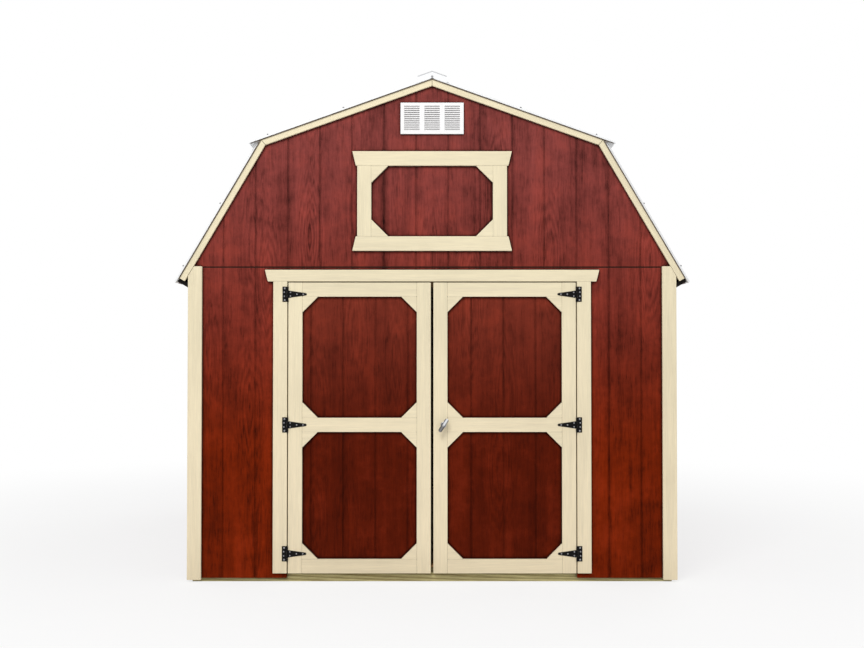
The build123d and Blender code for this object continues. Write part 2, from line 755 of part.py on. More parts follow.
with BuildPart() as hinge_leaves:
    for hinge_z in HINGE_Z:
        with BuildSketch(Plane.XZ.offset(FRONT_TRIM_FACE)) as plate:
            with Locations((PIN_X + LEAF_PLATE_W / 2, hinge_z)):
                Rectangle(LEAF_PLATE_W, HINGE_TALL)
            with Locations((PIN_X, hinge_z)):
                Rectangle(2 * (KNUCKLE_R + PLATE_CLEAR), STRAP_ROOT + 2 * KNUCKLE_GAP, mode=Mode.SUBTRACT)
        extrude(plate.sketch, amount=HINGE_PLATE)
        knuckle_tall = (HINGE_TALL - STRAP_ROOT) / 2 - KNUCKLE_GAP
        for end in (-1, 1):
            with Locations((PIN_X, HINGE_Y, hinge_z + end * (HINGE_TALL - knuckle_tall) / 2)):
                Cylinder(KNUCKLE_R, knuckle_tall)
        with Locations((PIN_X, HINGE_Y, hinge_z)):
            Cylinder(PIN_R, HINGE_TALL)
    mirror(about=Plane.YZ)
save(hinge_leaves, "hinge_leaves")

# T-handle on the right leaf
with BuildPart() as handle_rose:
    with BuildSketch(Plane.XZ.offset(FRONT_TRIM_FACE)):
        with Locations((HANDLE_X, MID_RAIL_Z)):
            Circle(ROSE_R)
            Circle(SHANK_R + PIN_CLEARANCE, mode=Mode.SUBTRACT)
    extrude(amount=ROSE_T)
save(handle_rose, "handle_rose")

with BuildPart() as t_handle:
    with BuildSketch(Plane.XZ.offset(FRONT_TRIM_FACE + HAIRLINE)):
        with Locations((HANDLE_X, MID_RAIL_Z)):
            Circle(SHANK_R)
    extrude(amount=BAR_OUT - HAIRLINE)
    with BuildSketch(Plane.XZ.offset(FRONT_TRIM_FACE + BAR_OUT)):
        with Locations((HANDLE_X, MID_RAIL_Z)):
            SlotOverall(BAR_LONG, BAR_W, rotation=90 - HANDLE_LEAN)
    extrude(amount=BAR_T)
save(t_handle, "t_handle")
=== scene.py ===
"""Looks of the lofted barn: painted siding and trim, lumber, roof metal, hardware, light and camera.

Metres. The front faces -Y, +X is to the right seen from the front, +Z is up.
"""

import math

import bpy
from mathutils import Matrix, Vector


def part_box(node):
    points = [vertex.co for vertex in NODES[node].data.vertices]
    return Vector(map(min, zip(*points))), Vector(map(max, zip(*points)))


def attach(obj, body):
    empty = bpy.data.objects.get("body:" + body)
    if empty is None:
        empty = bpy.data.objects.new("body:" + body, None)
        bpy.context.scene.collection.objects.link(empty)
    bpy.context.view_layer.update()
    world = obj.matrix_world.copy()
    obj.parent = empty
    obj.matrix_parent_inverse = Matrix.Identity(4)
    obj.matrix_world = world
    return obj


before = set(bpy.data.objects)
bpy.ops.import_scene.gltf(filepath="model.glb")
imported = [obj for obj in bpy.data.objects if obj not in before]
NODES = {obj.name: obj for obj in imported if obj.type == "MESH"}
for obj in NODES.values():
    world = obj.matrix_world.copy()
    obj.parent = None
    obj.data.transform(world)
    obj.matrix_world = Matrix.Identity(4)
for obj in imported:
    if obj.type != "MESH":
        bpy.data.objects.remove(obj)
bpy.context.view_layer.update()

# Camera, from the photograph's perspective, in its 864 by 648 frame
PHOTO_WIDTH = 864
FOCAL_PIXELS = 1133.2
SENSOR = 36.0
CAMERA_PLACE = (-0.0007, -9.0, 1.486)
CAMERA_TILT = math.radians(1.106)

# Gambrel roof: its lines on top of the deck, then the metal over them
RIDGE_Z = 3.180
BREAK_X = 1.085
UPPER_PITCH = math.radians(19.6)
LOWER_PITCH = math.radians(59.6)
BREAK_Z = RIDGE_Z - BREAK_X * math.tan(UPPER_PITCH)
SHEET = 0.002
RIB_COUNT = 17
RIB_PITCH = 0.225
RIB_CROWN = 0.021
CAP_RISE = 0.045
CAP_END_Y = 1.858

# Walls: where the side plates begin and the siding's back faces lie, and how high its groove floors stand
SIDE_PLATE_X = 1.424
SIDE_WALL_X = 1.513
END_WALL_Y = 1.818
GROOVE_PITCH = 0.2032
GROOVE_FLOOR = 0.008
FIRST_DOOR_GROOVE = {"left": -0.155, "right": 0.247}
PLY_SHEET = 1.2192

# Width of the change from one finish to the next on the same piece
EDGE = 0.002

# Shift of a pattern with x, so that the two sides of the roof differ
SIDE_SHIFT = 3.0

# How close another piece stands where painted shade darkens the joints of painted boards and the corners of
# siding and lumber
JOINT_SHADE_REACH = 0.004
CORNER_SHADE_REACH = 0.030

# Gable vent louvres: the depths between which painted shade darkens them inward
LOUVRE_BACK_Y = 1.832
LOUVRE_FRONT_Y = 1.839

# Strap hinges
PIN_X = 0.9115
HINGE_PLATE = 0.0025
HINGE_HEIGHTS = (0.179, 0.988, 1.812)

# T-handle
HANDLE_X = 0.0715
HANDLE_Z = 0.988
HANDLE_LEAN = math.radians(33)


def tint(red, green, blue):
    """A colour given as 0 to 255 screen values, as the linear colour that the shader needs."""
    steps = [value / 255 for value in (red, green, blue)]
    linear = [step / 12.92 if step <= 0.04045 else ((step + 0.055) / 1.055) ** 2.4 for step in steps]
    return (*linear, 1.0)


class Tone:
    """A value in a node tree: its operators add Math nodes."""

    def __init__(self, graph, socket):
        self.graph = graph
        self.socket = socket

    def maths(self, operation, first, second=0.0):
        return self.graph.node("ShaderNodeMath", {"operation": operation}, {0: first, 1: second})

    def __add__(self, other):
        return self.maths("ADD", self, other)

    def __sub__(self, other):
        return self.maths("SUBTRACT", self, other)

    def __mul__(self, other):
        return self.maths("MULTIPLY", self, other)

    def __truediv__(self, other):
        return self.maths("DIVIDE", self, other)

    def __rsub__(self, other):
        return self.maths("SUBTRACT", other, self)

    def __abs__(self):
        return self.maths("ABSOLUTE", self)

    def larger(self, other):
        return self.maths("MAXIMUM", self, other)

    def smaller(self, other):
        return self.maths("MINIMUM", self, other)

    def ripple(self):
        return self.maths("SINE", self)

    def fraction(self):
        return self.maths("FRACT", self)

    __radd__ = __add__


class Graph:
    """The nodes of a material or of the world."""

    def __init__(self, tree):
        self.tree = tree

    def node(self, kind, settings=None, inputs=None, output=0):
        """Add a node: its settings first, then the values or links of its sockets."""
        made = self.tree.nodes.new(kind)
        for key, value in (settings or {}).items():
            setattr(made, key, value)
        for key, value in (inputs or {}).items():
            self.feed(made.inputs[key], value)
        return Tone(self, made.outputs[output])

    def feed(self, socket, value):
        """Link a tone to a socket, or set a plain value on it."""
        if isinstance(value, Tone):
            self.tree.links.new(value.socket, socket)
        else:
            socket.default_value = value

    def seen_ray(self):
        """1 where the camera sees the surface itself or by a mirror image or through glass."""
        camera = self.node("ShaderNodeLightPath", output="Is Camera Ray")
        glossy = self.node("ShaderNodeLightPath", output="Is Glossy Ray")
        passed = self.node("ShaderNodeLightPath", output="Is Transmission Ray")
        return camera.larger(glossy).larger(passed)


class Paint(Graph):
    """One material round a Principled shader."""

    def __init__(self, name, specular=0.5, metallic=0.0):
        self.material = bpy.data.materials.new(name)
        self.material.use_nodes = True
        super().__init__(self.material.node_tree)
        self.shader = self.tree.nodes["Principled BSDF"]
        self.set(Specular_IOR_Level=specular, Metallic=metallic)
        self.place = self.node("ShaderNodeTexCoord", output="Object")

    def set(self, **sockets):
        """Feed sockets of the shader, named with underscores for spaces."""
        for name, value in sockets.items():
            self.feed(self.shader.inputs[name.replace("_", " ")], value)

    def axes(self):
        """The object's X, Y and Z as three tones."""
        return [self.node("ShaderNodeSeparateXYZ", inputs={0: self.place}, output=axis) for axis in "XYZ"]

    def vector(self, x, y, z):
        return self.node("ShaderNodeCombineXYZ", inputs={0: x, 1: y, 2: z})

    def noise(self, vector, detail=4.0, roughness=0.55, scale=1.0):
        sockets = {"Vector": vector, "Scale": scale, "Detail": detail, "Roughness": roughness}
        return self.node("ShaderNodeTexNoise", inputs=sockets)

    def cells(self, vector, scale=1.0):
        """Distance to the nearest of scattered points."""
        return self.node("ShaderNodeTexVoronoi", {"feature": "F1"}, {"Vector": vector, "Scale": scale})

    def waves(self, vector, distortion, detail=2.0):
        settings = {"wave_type": "BANDS", "bands_direction": "DIAGONAL"}
        sockets = {"Vector": vector, "Scale": 1.0, "Distortion": distortion, "Detail": detail}
        return self.node("ShaderNodeTexWave", settings, sockets)

    def mix(self, factor, first, second, blend="MIX"):
        settings = {"data_type": "RGBA", "blend_type": blend}
        return self.node("ShaderNodeMix", settings, {0: factor, 6: first, 7: second}, output=2)

    def shaded(self, colour, shade):
        """A colour made darker or lighter by a shade about 1."""
        return self.mix(1.0, colour, self.vector(shade, shade, shade), "MULTIPLY")

    def between(self, value, low, high):
        """0 below low, 1 above high, smooth between them."""
        settings = {"interpolation_type": "SMOOTHSTEP"}
        return self.node("ShaderNodeMapRange", settings, {0: value, 1: low, 2: high})

    def crevice(self, reach):
        """Ambient occlusion, from which paints take painted shade: 1 in a corner where other pieces stand
        closer than the reach, 0 on an open face.
        """
        open_air = self.node("ShaderNodeAmbientOcclusion", {"samples": 8}, {"Distance": reach}, output="AO")
        return 1.0 - open_air

    def bump(self, height, strength, distance):
        sockets = {"Height": height, "Strength": strength, "Distance": distance}
        self.set(Normal=self.node("ShaderNodeBump", inputs=sockets))

    def run(self, grain, fine, long):
        """Coordinates drawn out along the grain: X, Y, Z, round the wall plates, or down the roof slopes."""
        x, y, z = self.axes()
        along_x = self.vector(x * long, y * fine, z * fine)
        along_y = self.vector(x * fine, y * long, z * fine)
        if grain == "X":
            return along_x
        if grain == "Y":
            return along_y
        if grain == "Z":
            return self.vector(x * fine, y * fine, z * long)
        side = abs(x)
        if grain == "plates":
            return self.mix(self.between(side, SIDE_PLATE_X - EDGE, SIDE_PLATE_X), along_x, along_y)
        slopes = []
        for pitch in (UPPER_PITCH, LOWER_PITCH):
            down = side * math.cos(pitch) - z * math.sin(pitch)
            out = side * math.sin(pitch) + z * math.cos(pitch)
            slopes.append(self.vector(down * long, y * fine + x * SIDE_SHIFT, out * fine))
        return self.mix(self.between(side, BREAK_X - EDGE, BREAK_X + EDGE), *slopes)


def painted_board(name, low, high, grain, mottle=0.28, roughness=0.5, specular=0.3):
    """Paint over wood: faint grain, brush streaks, a change with height that is painted light, dust near the
    ground, and painted shade in joints.
    """
    paint = Paint(name, specular)
    height = paint.axes()[2]
    streak = paint.noise(paint.run(grain, 34.0, 1.5), detail=5.0, roughness=0.6)
    fibre = paint.noise(paint.run(grain, 210.0, 7.0), detail=3.0, roughness=0.6)
    cloud = paint.noise(paint.place, detail=3.0, scale=1.3)
    # painted light: the tone goes from LOW near the ground to HIGH higher up
    colour = paint.mix(paint.between(height, 0.0, 2.4), low, high)
    colour = paint.shaded(colour, 1.0 + (streak + fibre + cloud - 1.5) * mottle)
    worn = paint.between(cloud * 0.6 + streak * 0.4, 0.55, 0.70) * 0.10
    colour = paint.mix(worn, colour, WORN_TAN)
    splash = (1.0 - paint.between(height + (cloud - 0.5) * 0.25, 0.02, 0.30)) * 0.08
    colour = paint.mix(splash, colour, SPLASH_BROWN)
    # painted shade: joints and corners of painted boards turn brown where other pieces stand close
    joint = paint.between(paint.crevice(JOINT_SHADE_REACH), 0.15, 0.50) * 0.75
    colour = paint.mix(joint, colour, JOINT_SHADE_BROWN)
    paint.set(Base_Color=colour, Roughness=roughness + (fibre - 0.5) * 0.22)
    paint.bump(streak * 0.4 + fibre * 0.6, 0.25, 0.0012)
    return paint.material


def siding_paint(name, low, high, first_groove, figure):
    """Red paint on pressed siding: upright grain round long knots, painted light that changes with height,
    painted shade along grooves and in corners, bare inside.
    """
    paint = Paint(name, specular=0.04)
    x, y, height = paint.axes()
    drift = paint.noise(paint.run("Z", 5.5, 0.6), detail=3.0)
    streak = paint.noise(paint.run("Z", 27.0, 1.3), detail=6.0, roughness=0.62)
    fibre = paint.noise(paint.run("Z", 170.0, 8.0), detail=3.0, roughness=0.6)
    blotch = paint.noise(paint.place, detail=5.0, roughness=0.65, scale=9.0)
    knot = paint.cells(paint.run("Z", 4.6, 1.0)) + (streak - 0.5) * 0.35
    rings = (knot * 75.0).ripple() * (1.0 - paint.between(knot, 0.20, 0.65))
    core = 1.0 - paint.between(knot, 0.02, 0.09)
    on_side = paint.between(abs(x), SIDE_WALL_X - EDGE, SIDE_WALL_X)
    phase = ((x + on_side * (y - x) - first_groove) / GROOVE_PITCH).fraction()
    from_groove = (0.5 - abs(phase - 0.5)) * GROOVE_PITCH
    # painted shade: darker bands along each groove of the siding
    groove_shade = 1.0 - paint.between(from_groove, 0.0040, 0.0200)
    # painted light: the red goes from LOW near the ground to HIGH under the ridge
    colour = paint.mix(paint.between(height, 0.7, 3.0), low, high)
    pores = paint.between(paint.noise(paint.run("Z", 80.0, 13.0), detail=3.0, roughness=0.6), 0.52, 0.70)
    grain = (drift - 0.5) * 1.3 + (streak - 0.5) * 1.1 + (fibre - 0.5) * 0.8 + (blotch - 0.5) * 1.2
    dark = rings * 0.19 + core * 0.3 + groove_shade * 0.14 + pores * 0.24
    colour = paint.shaded(colour, 1.05 + (grain - dark) * figure)
    faded = paint.between(drift * 0.5 + blotch * 0.5, 0.48, 0.66) * 0.16
    colour = paint.mix(faded, colour, FADED_RED)
    # painted shade: a dark contact line on the face beside trims, and deeper shade in grooves and inside
    # corners
    corner = paint.crevice(CORNER_SHADE_REACH)
    from_back = (abs(y) - END_WALL_Y).larger(abs(x) - SIDE_WALL_X)
    on_face = paint.between(from_back, GROOVE_FLOOR, GROOVE_FLOOR + EDGE)
    contact_shade = paint.between(corner, 0.10, 0.36) * on_face * 0.7
    deep_shade = paint.between(corner, 0.30, 0.50) * 0.85
    colour = paint.shaded(colour, 1.0 - contact_shade.larger(deep_shade))
    strand = paint.cells(paint.run("Z", 42.0, 11.0))
    bare = paint.shaded(paint.mix(strand, BARE_PALE, BARE_DARK), 1.0 + (blotch + streak - 1.0) * 0.6)
    behind_end = 1.0 - paint.between(abs(y), END_WALL_Y + EDGE / 2, END_WALL_Y + EDGE)
    behind_side = 1.0 - paint.between(abs(x), SIDE_WALL_X + EDGE / 2, SIDE_WALL_X + EDGE)
    colour = paint.mix(behind_end * behind_side, colour, bare)
    paint.set(Base_Color=colour, Roughness=0.66 + (fibre - 0.5) * 0.24)
    paint.bump(streak * 0.35 + fibre * 0.35 + rings * 0.2, 0.40, 0.0018)
    return paint.material


def bare_lumber(name, pale, dark, knot_colour, grain, knot_size=1.0):
    """Unpainted softwood: growth rings along the board, fibre, knots, grey stains, and painted shade in
    corners.
    """
    paint = Paint(name, specular=0.25)
    bend = paint.noise(paint.run(grain, 6.0, 1.2), detail=3.0)
    rings = paint.waves(paint.run(grain, 30.0, 1.1), distortion=3.5)
    fibre = paint.noise(paint.run(grain, 260.0, 9.0), detail=3.0, roughness=0.6)
    knot = paint.cells(paint.run(grain, 9.0, 3.4)) + (bend - 0.5) * 0.1
    core = 1.0 - paint.between(knot, 0.05 * knot_size, 0.16 * knot_size)
    colour = paint.mix(rings * 0.5 + (fibre - 0.5) * 1.2 + (bend - 0.5) * 0.8 + 0.25, pale, dark)
    colour = paint.mix(core * 0.8, colour, knot_colour)
    stain = paint.between(paint.noise(paint.place, detail=3.0, scale=2.3), 0.45, 0.75)
    colour = paint.mix(stain * 0.25, colour, STAIN_GREY)
    # painted shade in corners where other pieces stand close, left off next to the floor
    off_ground = paint.between(paint.axes()[2], 0.010, 0.022)
    corner = paint.between(paint.crevice(CORNER_SHADE_REACH), 0.10, 0.40) * off_ground
    colour = paint.shaded(colour, 1.0 - corner * 0.6)
    paint.set(Base_Color=colour, Roughness=0.68 + (fibre - 0.5) * 0.2)
    paint.bump(rings * 0.3 + fibre * 0.7 + core * 0.5, 0.35, 0.0012)
    return paint.material


def sheet_wood(name, pale, dark, grain):
    """Plywood: wide veneer figure, patches, fine fibre and the joints between sheets."""
    paint = Paint(name, specular=0.25)
    figure = paint.waves(paint.run(grain, 7.0, 0.7), distortion=9.0, detail=3.0)
    fibre = paint.noise(paint.run(grain, 240.0, 6.0), detail=3.0)
    patch = paint.noise(paint.place, detail=3.0, scale=1.7)
    colour = paint.mix(figure * 0.6 + fibre * 0.4, pale, dark)
    colour = paint.mix(paint.between(patch, 0.5, 0.75) * 0.25, colour, PATCH_BROWN)
    x, y, _ = paint.axes()
    from_joint = (0.5 - abs((y / PLY_SHEET).fraction() - 0.5)) * PLY_SHEET
    joint = 1.0 - paint.between(from_joint.smaller(abs(x)), 0.0010, 0.0035)
    colour = paint.shaded(colour, 1.0 - joint * 0.65)
    paint.set(Base_Color=colour, Roughness=0.72 + (fibre - 0.5) * 0.2)
    paint.bump(figure * 0.3 + fibre * 0.7 - joint, 0.25, 0.0010)
    return paint.material


def roof_paint(name, colour, streaked):
    """White coil-coated steel: rain streaks down the slope, and a painted grey line of shade along the top of
    the cap's folded ends.
    """
    paint = Paint(name, specular=0.4)
    x, y, z = paint.axes()
    streak = paint.noise(paint.run("slope", 11.0, 0.7), detail=5.0, roughness=0.65)
    cloud = paint.noise(paint.place, detail=4.0, scale=1.6)
    dirt = paint.between(streak * 0.6 + cloud * 0.4, 0.48, 0.68) * 0.30
    # painted shade: grey along the top of the ridge cap's folded ends
    rise = abs(x) * math.sin(UPPER_PITCH) + (z - RIDGE_Z) * math.cos(UPPER_PITCH)
    at_fold = paint.between(rise, CAP_RISE - 4 * EDGE, CAP_RISE - 3 * EDGE)
    at_end = paint.between(abs(y), CAP_END_Y - EDGE, CAP_END_Y)
    colour = paint.mix(at_fold * at_end, paint.mix(dirt, colour, streaked), FOLD_SHADE_GREY)
    paint.set(Base_Color=colour, Roughness=0.36 + (streak - 0.5) * 0.25)
    paint.bump(cloud * 0.6 + streak * 0.4, 0.10, 0.0015)
    return paint.material


def hardware(name, colour, wear, roughness, metallic=0.0, specular=0.5):
    """Coated or plated hardware: a slight orange-peel surface, smudges and rubbed spots."""
    paint = Paint(name, specular, metallic)
    peel = paint.noise(paint.place, detail=2.0, scale=900.0)
    smudge = paint.noise(paint.place, detail=4.0, scale=45.0)
    rubbed = paint.between(smudge, 0.58, 0.75) * 0.35
    paint.set(Base_Color=paint.mix(rubbed, colour, wear), Roughness=roughness + (smudge - 0.5) * 0.25)
    paint.bump(peel, 0.10, 0.0003)
    return paint.material


def handle_plating(name):
    """Chrome of the T-handle with painted reflections: a painted highlight along the bar's middle, painted
    dark reflections at its edges and on its lower half.
    """
    paint = Paint(name, metallic=1.0)
    x, _, z = paint.axes()
    east = x - HANDLE_X
    north = z - HANDLE_Z
    along = east * math.sin(HANDLE_LEAN) + north * math.cos(HANDLE_LEAN)
    across = east * math.cos(HANDLE_LEAN) - north * math.sin(HANDLE_LEAN)
    smudge = paint.noise(paint.place, detail=4.0, scale=60.0)
    # painted reflections: dark at the bar's edges and over its lower half, a painted highlight along the
    # middle of its upper half
    edge = paint.between(abs(across) + (smudge - 0.5) * 0.003, 0.004, 0.009)
    low = paint.between(along + (smudge - 0.5) * 0.02, 0.008, -0.012)
    colour = paint.mix(low, PLATING_HIGHLIGHT, PLATING_DARK_REFLECTION)
    colour = paint.mix(edge * 0.85, colour, PLATING_EDGE_REFLECTION)
    paint.set(Base_Color=colour, Roughness=0.16 + (smudge - 0.5) * 0.2)
    paint.bump(smudge, 0.05, 0.0005)
    return paint.material


def moulded_white(name):
    """White moulded vent: fine pebble, a little grime that runs down, painted shade deep in the louvres."""
    paint = Paint(name, specular=0.35)
    pebble = paint.noise(paint.place, detail=2.0, scale=1500.0)
    grime = paint.noise(paint.run("Z", 60.0, 6.0), detail=4.0)
    colour = paint.mix(paint.between(grime, 0.5, 0.8) * 0.18, VENT_PALE, VENT_GRIME)
    # painted shade: darker deeper in the louvres
    louvre_shade = 1.0 - paint.between(abs(paint.axes()[1]), LOUVRE_BACK_Y, LOUVRE_FRONT_Y)
    colour = paint.shaded(colour, 1.0 - louvre_shade * 0.45)
    paint.set(Base_Color=colour, Roughness=0.42 + (grime - 0.5) * 0.2)
    paint.bump(pebble, 0.12, 0.0003)
    return paint.material


# Colours: LOW near the ground and HIGH under the ridge, where a paint's tone changes with height; that change
# is painted light
SIDING_LOW = tint(112, 31, 3)
SIDING_HIGH = tint(124, 58, 54)
DOOR_LOW = tint(86, 22, 4)
DOOR_HIGH = tint(146, 64, 50)
CREAM_LOW = tint(241, 226, 193)
CREAM_HIGH = tint(236, 224, 191)
# painted shade along the top of the ridge cap's folded ends
FOLD_SHADE_GREY = tint(196, 197, 199)
BARE_PALE = tint(172, 132, 90)
BARE_DARK = tint(120, 84, 52)
PLY_PALE = tint(206, 168, 116)
PLY_DARK = tint(172, 128, 80)
PINE_PALE = tint(214, 178, 126)
PINE_DARK = tint(178, 132, 82)
PINE_KNOT = tint(96, 58, 32)
TREATED_PALE = tint(224, 214, 158)
TREATED_DARK = tint(132, 116, 68)
TREATED_KNOT = tint(74, 56, 32)
EAVE_LOW = tint(18, 16, 15)
EAVE_HIGH = tint(20, 18, 17)
DRIP_LOW = tint(100, 91, 83)
DRIP_HIGH = tint(104, 95, 87)
ROOF_PALE = tint(246, 247, 248)
ROOF_STREAK = tint(214, 214, 210)
# painted highlight and painted dark reflections of the T-handle's chrome
PLATING_HIGHLIGHT = tint(226, 227, 229)
PLATING_DARK_REFLECTION = tint(126, 124, 124)
PLATING_EDGE_REFLECTION = tint(64, 62, 64)
VENT_PALE = tint(250, 249, 249)
VENT_GRIME = tint(204, 203, 200)

# Wear and stains, and the brown of painted shade in the joints of painted boards
WORN_TAN = tint(176, 156, 122)
SPLASH_BROWN = tint(140, 122, 92)
JOINT_SHADE_BROWN = tint(96, 82, 60)
FADED_RED = tint(146, 50, 28)
STAIN_GREY = tint(118, 108, 76)
PATCH_BROWN = tint(120, 92, 62)

CREAM = {
    grain: painted_board(f"cream_paint_{grain.lower()}", CREAM_LOW, CREAM_HIGH, grain)
    for grain in ("X", "Z", "slope")
}
PINE = {
    grain: bare_lumber(f"framing_pine_{grain.lower()}", PINE_PALE, PINE_DARK, PINE_KNOT, grain)
    for grain in ("X", "Y", "Z", "plates", "slope")
}
TREATED = {
    grain: bare_lumber(
        f"treated_pine_{grain.lower()}", TREATED_PALE, TREATED_DARK, TREATED_KNOT, grain, knot_size=1.6
    )
    for grain in ("X", "Y")
}
PLYWOOD = sheet_wood("plywood_sheet", PLY_PALE, PLY_DARK, "Y")
SIDING = siding_paint("red_siding", SIDING_LOW, SIDING_HIGH, GROOVE_PITCH / 2, figure=1.1)
DOOR_RED = {
    side: siding_paint(f"red_{side}_door", DOOR_LOW, DOOR_HIGH, first_groove, figure=0.75)
    for side, first_groove in FIRST_DOOR_GROOVE.items()
}
# near-black paint of the eave fascias; on the seam flashings it is painted shade
BLACK_PAINT_AND_SEAM_SHADE = painted_board("eave_black", EAVE_LOW, EAVE_HIGH, "Y", mottle=0.4, specular=0.08)
DRIP_GREY = painted_board("drip_edge_grey", DRIP_LOW, DRIP_HIGH, "slope", mottle=0.4, specular=0.1)
ROOF_WHITE = roof_paint("roof_white", ROOF_PALE, ROOF_STREAK)
HINGE_BLACK = hardware("hinge_black", tint(13, 12, 13), tint(40, 39, 38), roughness=0.46, specular=0.1)
CHROME = hardware("rose_chrome", tint(176, 177, 180), tint(130, 130, 132), roughness=0.16, metallic=1.0)
HANDLE_CHROME = handle_plating("handle_chrome")
ZINC = hardware("screw_zinc", tint(146, 145, 147), tint(98, 96, 94), roughness=0.38, metallic=1.0)
ROOF_ZINC = hardware("roof_screw_grey", tint(86, 87, 88), tint(66, 64, 62), roughness=0.45, metallic=0.6)
# painted light: a paler copy of the roofing screw finish for the cap's end screws, against the shade they
# stand in
CAP_SCREW_PAINTED_LIGHT = hardware("cap_screw_pale", tint(172, 172, 174), tint(150, 149, 147), roughness=0.45)
VENT_WHITE = moulded_white("vent_white")

FINISHES = {
    "skids": TREATED["Y"],
    "band_boards": TREATED["X"],
    "floor_joists": TREATED["X"],
    "floor_deck": PLYWOOD,
    "loft_deck": PLYWOOD,
    "roof_decks": PLYWOOD,
    "rafter_gussets": PLYWOOD,
    "wall_plates": PINE["plates"],
    "wall_studs": PINE["Z"],
    "door_jambs": PINE["Z"],
    "gable_studs": PINE["Z"],
    "door_header_beam": PINE["X"],
    "ridge_board": PINE["Y"],
    "upper_rafters": PINE["slope"],
    "lower_rafters": PINE["slope"],
    "loft_joists": PINE["X"],
    "front_siding_beside_door": SIDING,
    "front_siding_over_door": SIDING,
    "front_gable_siding": SIDING,
    "back_wall_siding": SIDING,
    "back_gable_siding": SIDING,
    "side_wall_sidings": SIDING,
    "front_rake_trims": CREAM["slope"],
    "back_rake_trims": CREAM["slope"],
    "end_corner_trims": CREAM["Z"],
    "side_corner_trims": CREAM["Z"],
    "door_casings": CREAM["Z"],
    "door_header_trim": CREAM["X"],
    "loft_trim_rails": CREAM["X"],
    "loft_trim_posts": CREAM["Z"],
    "loft_trim_gussets": CREAM["X"],
    "eave_fascias": BLACK_PAINT_AND_SEAM_SHADE,
    "rake_drip_edges": DRIP_GREY,
    # painted shade: the seam flashings are near-black so that the seam between gable and wall siding reads as
    # a shadow line
    "seam_flashings": BLACK_PAINT_AND_SEAM_SHADE,
    "roof_panels": ROOF_WHITE,
    "ridge_cap": ROOF_WHITE,
    "gable_vents": VENT_WHITE,
    "hinge_leaves": HINGE_BLACK,
    "handle_rose": CHROME,
    "t_handle": HANDLE_CHROME,
}
for side in ("left", "right"):
    FINISHES[f"{side}_door_panel"] = DOOR_RED[side]
    FINISHES[f"{side}_door_stiles"] = CREAM["Z"]
    FINISHES[f"{side}_door_rails"] = CREAM["X"]
    FINISHES[f"{side}_door_gussets"] = CREAM["X"]
    FINISHES[f"{side}_door_back_rails"] = PINE["X"]
    FINISHES[f"{side}_hinge_straps"] = HINGE_BLACK

for name, finish in FINISHES.items():
    NODES[name].data.materials.clear()
    NODES[name].data.materials.append(finish)

# Eased edges on sawn boards and on hardware
MERGE_GAP = 0.00002
EASE_ANGLE = math.radians(50)
SMOOTH_ANGLE = math.radians(40)
EASED = {
    CREAM["X"]: 0.0030,
    CREAM["Z"]: 0.0030,
    CREAM["slope"]: 0.0030,
    HINGE_BLACK: 0.0006,
    VENT_WHITE: 0.0006,
    CHROME: 0.0015,
    HANDLE_CHROME: 0.0040,
}
for name, finish in FINISHES.items():
    if finish in EASED:
        weld = NODES[name].modifiers.new("weld", "WELD")
        weld.merge_threshold = MERGE_GAP
        ease = NODES[name].modifiers.new("ease", "BEVEL")
        ease.width = EASED[finish]
        ease.segments = 2
        ease.limit_method = "ANGLE"
        ease.angle_limit = EASE_ANGLE


def begin(add, name, **size):
    """Add a primitive under a name, alone in the selection."""
    bpy.ops.object.select_all(action="DESELECT")
    add(**size)
    piece = bpy.context.active_object
    piece.name = name
    piece.data.name = name
    return piece


def faces_up(face):
    """True for a face that looks along +Z."""
    return face.normal.z > 0.9


def pick_faces(piece, test):
    """Go to edit mode with only the faces selected that pass the test."""
    bpy.ops.object.mode_set(mode="EDIT")
    bpy.ops.mesh.select_mode(type="FACE")
    bpy.ops.mesh.select_all(action="DESELECT")
    bpy.ops.object.mode_set(mode="OBJECT")
    for face in piece.data.polygons:
        face.select = test(face)
    bpy.ops.object.mode_set(mode="EDIT")


def step_up(inset, rise):
    """Inset the selected top and raise it, as one ring of a dome."""
    bpy.ops.mesh.inset(thickness=inset)
    bpy.ops.transform.translate(value=(0, 0, rise))


def leave_edit(piece):
    """Back to object mode, with normals out and smooth round faces."""
    bpy.ops.mesh.select_all(action="SELECT")
    bpy.ops.mesh.normals_make_consistent(inside=False)
    bpy.ops.object.mode_set(mode="OBJECT")
    bpy.ops.object.shade_smooth_by_angle(angle=SMOOTH_ANGLE)
    return piece


# Pan-head hinge screw, in shares of its radius: rim, rings of the dome by inset and rise, recess cutter
RIM_TALL = 0.24
DOME_RINGS = ((0.18, 0.16), (0.24, 0.10))
RECESS = (1.05, 0.24, 0.5)
RECESS_UP = 0.36


def cross_screw(name, radius):
    """A pan-head screw, its axis on +Z: a low dome with a cross recess."""
    rim = radius * RIM_TALL
    screw = begin(bpy.ops.mesh.primitive_cylinder_add, name, vertices=16, radius=radius, depth=rim)
    bpy.ops.object.transform_apply(location=True, rotation=True, scale=True)
    pick_faces(screw, faces_up)
    for inset, rise in DOME_RINGS:
        step_up(radius * inset, radius * rise)
    leave_edit(screw)
    for turn in (0.0, math.pi / 2):
        slot = begin(bpy.ops.mesh.primitive_cube_add, "recess", size=1.0)
        slot.dimensions = [radius * share for share in RECESS]
        slot.rotation_euler = (0, 0, turn)
        slot.location = (0, 0, rim / 2 + radius * RECESS_UP)
        bpy.ops.object.transform_apply(location=True, rotation=True, scale=True)
        bpy.ops.object.select_all(action="DESELECT")
        screw.select_set(True)
        bpy.context.view_layer.objects.active = screw
        cut = screw.modifiers.new("recess", "BOOLEAN")
        cut.operation = "DIFFERENCE"
        cut.object = slot
        bpy.ops.object.modifier_apply(modifier=cut.name)
        bpy.data.objects.remove(slot)
    return screw


